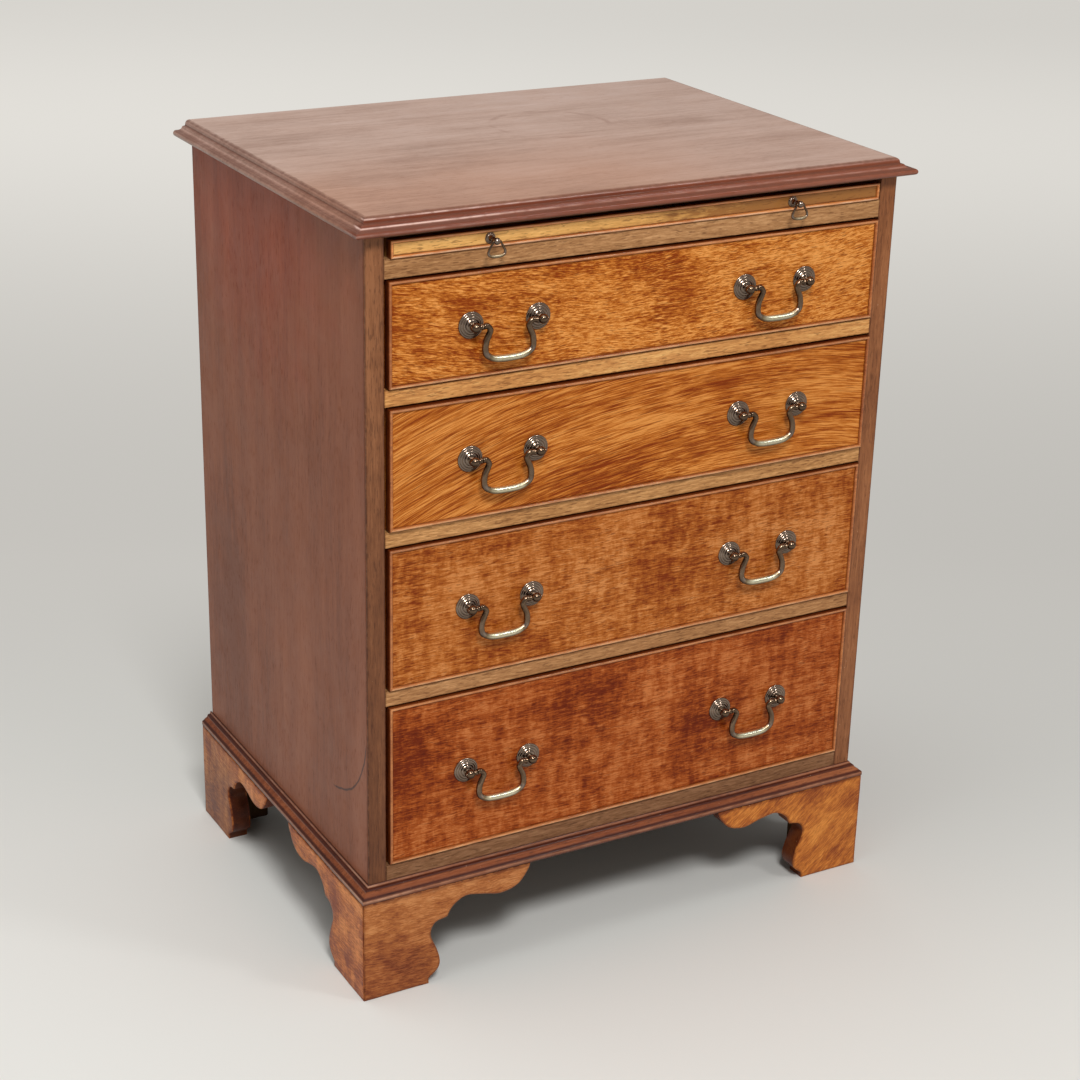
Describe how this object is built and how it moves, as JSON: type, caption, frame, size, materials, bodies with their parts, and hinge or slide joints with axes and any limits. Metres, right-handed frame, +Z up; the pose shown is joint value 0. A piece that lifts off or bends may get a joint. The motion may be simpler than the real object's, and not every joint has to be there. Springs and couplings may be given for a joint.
{
  "type": "bachelors chest",
  "caption": "Small mahogany bachelor’s chest: graduated cockbeaded drawers under a brushing slide, moulded top, ogee bracket feet, swan-neck brass handles.",
  "frame": {"origin": "on the floor, under the middle of the chest’s bounding box", "axes": "+X to the chest’s left-to-right as seen from the front, +Y to its back, +Z up; the drawers open towards -Y"},
  "size_m": [0.61, 0.4512, 0.7995],
  "materials": {
    "mahogany_top": "waxed, faded to a greyish brown, satin",
    "mahogany_side": "polished, dark reddish brown, satin",
    "mahogany_stile": "polished, worn dull brown",
    "mahogany_rail": "faded golden brown, matt",
    "mahogany_front": "polished, golden to reddish brown, figured",
    "mahogany_bead": "polished, reddish brown",
    "mahogany_slide": "faded golden brown, satin",
    "mahogany_base": "polished, dark red brown",
    "mahogany_foot": "polished, warm orange brown, knocked edges",
    "drawer_lining": "dry unpolished oak",
    "back_boards": "dry unpolished pine",
    "patinated_brass": "dark patina, polished by hands on the grips"
  },
  "bodies": {
    "case": {"top_board": "mahogany_top", "side_left": "mahogany_side", "side_right": "mahogany_side", "stile_left": "mahogany_stile", "stile_right": "mahogany_stile", "back_panel": "back_boards", "bottom_rail_and_board": "mahogany_rail", "rail_3_and_dustboard": "mahogany_rail", "rail_2_and_dustboard": "mahogany_rail", "rail_1_and_dustboard": "mahogany_rail", "slide_rail_and_dustboard": "mahogany_rail", "base_moulding_front": "mahogany_base", "base_moulding_left": "mahogany_base", "base_moulding_right": "mahogany_base", "foot_front_left": "mahogany_foot", "foot_front_right": "mahogany_foot", "foot_back_left": "mahogany_foot", "foot_back_right": "mahogany_foot"},
    "brushing_slide": {"slide_board": "mahogany_slide", "slide_bead": "mahogany_bead", "slide_pull_left": "patinated_brass", "slide_pull_right": "patinated_brass"},
    "drawer_1": {"drawer_1_front": "mahogany_front", "drawer_1_cockbead": "mahogany_bead", "drawer_1_box": "drawer_lining", "drawer_1_left_post_outer": "patinated_brass", "drawer_1_left_post_inner": "patinated_brass", "drawer_1_right_post_outer": "patinated_brass", "drawer_1_right_post_inner": "patinated_brass"},
    "drawer_1_left_handle": {"drawer_1_left_bail": "patinated_brass"},
    "drawer_1_right_handle": {"drawer_1_right_bail": "patinated_brass"},
    "drawer_2": {"drawer_2_front": "mahogany_front", "drawer_2_cockbead": "mahogany_bead", "drawer_2_box": "drawer_lining", "drawer_2_left_post_outer": "patinated_brass", "drawer_2_left_post_inner": "patinated_brass", "drawer_2_right_post_outer": "patinated_brass", "drawer_2_right_post_inner": "patinated_brass"},
    "drawer_2_left_handle": {"drawer_2_left_bail": "patinated_brass"},
    "drawer_2_right_handle": {"drawer_2_right_bail": "patinated_brass"},
    "drawer_3": {"drawer_3_front": "mahogany_front", "drawer_3_cockbead": "mahogany_bead", "drawer_3_box": "drawer_lining", "drawer_3_left_post_outer": "patinated_brass", "drawer_3_left_post_inner": "patinated_brass", "drawer_3_right_post_outer": "patinated_brass", "drawer_3_right_post_inner": "patinated_brass"},
    "drawer_3_left_handle": {"drawer_3_left_bail": "patinated_brass"},
    "drawer_3_right_handle": {"drawer_3_right_bail": "patinated_brass"},
    "drawer_4": {"drawer_4_front": "mahogany_front", "drawer_4_cockbead": "mahogany_bead", "drawer_4_box": "drawer_lining", "drawer_4_left_post_outer": "patinated_brass", "drawer_4_left_post_inner": "patinated_brass", "drawer_4_right_post_outer": "patinated_brass", "drawer_4_right_post_inner": "patinated_brass"},
    "drawer_4_left_handle": {"drawer_4_left_bail": "patinated_brass"},
    "drawer_4_right_handle": {"drawer_4_right_bail": "patinated_brass"},
    "slide_left_drop": {"slide_ring_left": "patinated_brass"},
    "slide_right_drop": {"slide_ring_right": "patinated_brass"}
  },
  "joints": [
    {"name": "brushing_slide_draws_out", "type": "slide", "parent": "case", "child": "brushing_slide", "axis": [0, -1, 0], "range_m": [0, 0.26]},
    {"name": "drawer_1_draws_out", "type": "slide", "parent": "case", "child": "drawer_1", "axis": [0, -1, 0], "range_m": [0, 0.3]},
    {"name": "drawer_1_left_handle_lifts", "type": "hinge", "parent": "drawer_1", "child": "drawer_1_left_handle", "pos_m": [-0.14973, -0.2196, 0.68835], "axis": [-1, 0, 0], "range_deg": [-12, 192]},
    {"name": "drawer_1_right_handle_lifts", "type": "hinge", "parent": "drawer_1", "child": "drawer_1_right_handle", "pos_m": [0.14973, -0.2196, 0.68835], "axis": [-1, 0, 0], "range_deg": [-12, 192]},
    {"name": "drawer_2_draws_out", "type": "slide", "parent": "case", "child": "drawer_2", "axis": [0, -1, 0], "range_m": [0, 0.3]},
    {"name": "drawer_2_left_handle_lifts", "type": "hinge", "parent": "drawer_2", "child": "drawer_2_left_handle", "pos_m": [-0.14973, -0.2208, 0.5586], "axis": [-1, 0, 0], "range_deg": [-12, 192]},
    {"name": "drawer_2_right_handle_lifts", "type": "hinge", "parent": "drawer_2", "child": "drawer_2_right_handle", "pos_m": [0.14973, -0.2208, 0.5586], "axis": [-1, 0, 0], "range_deg": [-12, 192]},
    {"name": "drawer_3_draws_out", "type": "slide", "parent": "case", "child": "drawer_3", "axis": [0, -1, 0], "range_m": [0, 0.3]},
    {"name": "drawer_3_left_handle_lifts", "type": "hinge", "parent": "drawer_3", "child": "drawer_3_left_handle", "pos_m": [-0.14973, -0.2196, 0.4071], "axis": [-1, 0, 0], "range_deg": [-12, 192]},
    {"name": "drawer_3_right_handle_lifts", "type": "hinge", "parent": "drawer_3", "child": "drawer_3_right_handle", "pos_m": [0.14973, -0.2196, 0.4071], "axis": [-1, 0, 0], "range_deg": [-12, 192]},
    {"name": "drawer_4_draws_out", "type": "slide", "parent": "case", "child": "drawer_4", "axis": [0, -1, 0], "range_m": [0, 0.3]},
    {"name": "drawer_4_left_handle_lifts", "type": "hinge", "parent": "drawer_4", "child": "drawer_4_left_handle", "pos_m": [-0.14973, -0.2194, 0.2296], "axis": [-1, 0, 0], "range_deg": [-12, 192]},
    {"name": "drawer_4_right_handle_lifts", "type": "hinge", "parent": "drawer_4", "child": "drawer_4_right_handle", "pos_m": [0.14973, -0.2194, 0.2296], "axis": [-1, 0, 0], "range_deg": [-12, 192]},
    {"name": "slide_left_drop_lifts", "type": "hinge", "parent": "brushing_slide", "child": "slide_left_drop", "pos_m": [-0.16562, -0.2218, 0.7678], "axis": [-1, 0, 0], "range_deg": [-40, 150]},
    {"name": "slide_right_drop_lifts", "type": "hinge", "parent": "brushing_slide", "child": "slide_right_drop", "pos_m": [0.16562, -0.2218, 0.7678], "axis": [-1, 0, 0], "range_deg": [-40, 150]}
  ]
}
